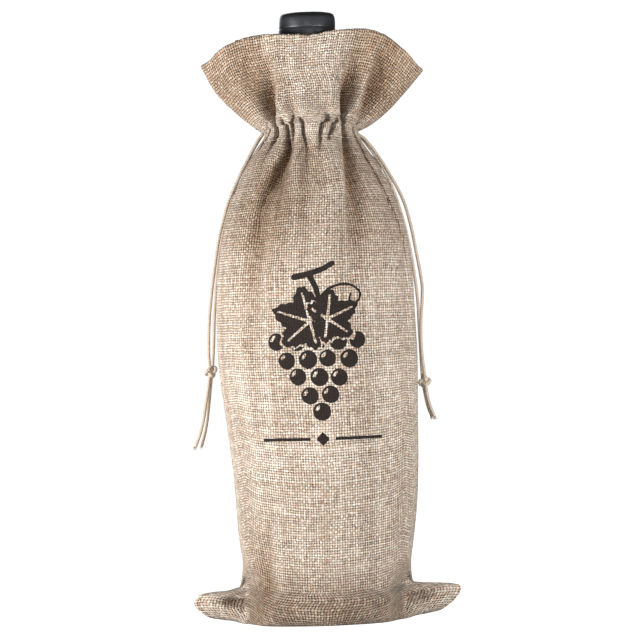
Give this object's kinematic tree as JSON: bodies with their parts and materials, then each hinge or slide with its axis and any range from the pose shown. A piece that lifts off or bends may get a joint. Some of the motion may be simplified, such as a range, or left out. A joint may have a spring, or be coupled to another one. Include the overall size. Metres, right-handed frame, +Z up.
{
  "type": "wine gift bag",
  "caption": "Drawstring burlap-look wine bag standing full, cinched round a bottle neck, with corded casing, ruffled header, knotted cords and loose bottom corners.",
  "frame": {"origin": "middle of the base, on the surface that the bag stands on", "axes": "+Z up along the bottle, -Y towards the printed front, +X to the right of someone facing the print"},
  "size_m": [0.14, 0.0876, 0.32],
  "materials": {
    "burlap": "matte",
    "cord": "matte",
    "thread": "matte",
    "bottle_glass": "gloss",
    "wine": "gloss",
    "cork": "matte",
    "capsule": "satin"
  },
  "bodies": {
    "bag": {"front_panel": "burlap", "back_panel": "burlap", "base_fold": "burlap", "left_bottom_corner": "burlap", "right_bottom_corner": "burlap", "left_side_seam": "burlap", "right_side_seam": "burlap", "front_casing": "burlap", "back_casing": "burlap", "front_header": "burlap", "back_header": "burlap", "front_facing": "burlap", "back_facing": "burlap", "lower_stitch_row": "thread", "upper_stitch_row": "thread", "left_cord_run": "cord", "right_cord_run": "cord"},
    "bottle": {"bottle_glass": "bottle_glass", "wine": "wine", "cork": "cork", "capsule_skirt": "capsule", "capsule_disc": "capsule"},
    "left_cord": {"left_front_strand": "cord", "left_back_strand": "cord", "left_knot": "cord"},
    "right_cord": {"right_front_strand": "cord", "right_back_strand": "cord", "right_knot": "cord"}
  },
  "joints": [
    {"name": "bottle_lift", "type": "slide", "parent": "bag", "child": "bottle", "axis": [0, 0, 1], "range_m": [0, 0.018]},
    {"name": "left_cord_swing", "type": "hinge", "parent": "bag", "child": "left_cord", "pos_m": [-0.025, 0, 0.2576], "axis": [0, 1, 0], "range_deg": [0, 70]},
    {"name": "right_cord_swing", "type": "hinge", "parent": "bag", "child": "right_cord", "pos_m": [0.025, 0, 0.2552], "axis": [0, -1, 0], "range_deg": [0, 70]}
  ]
}
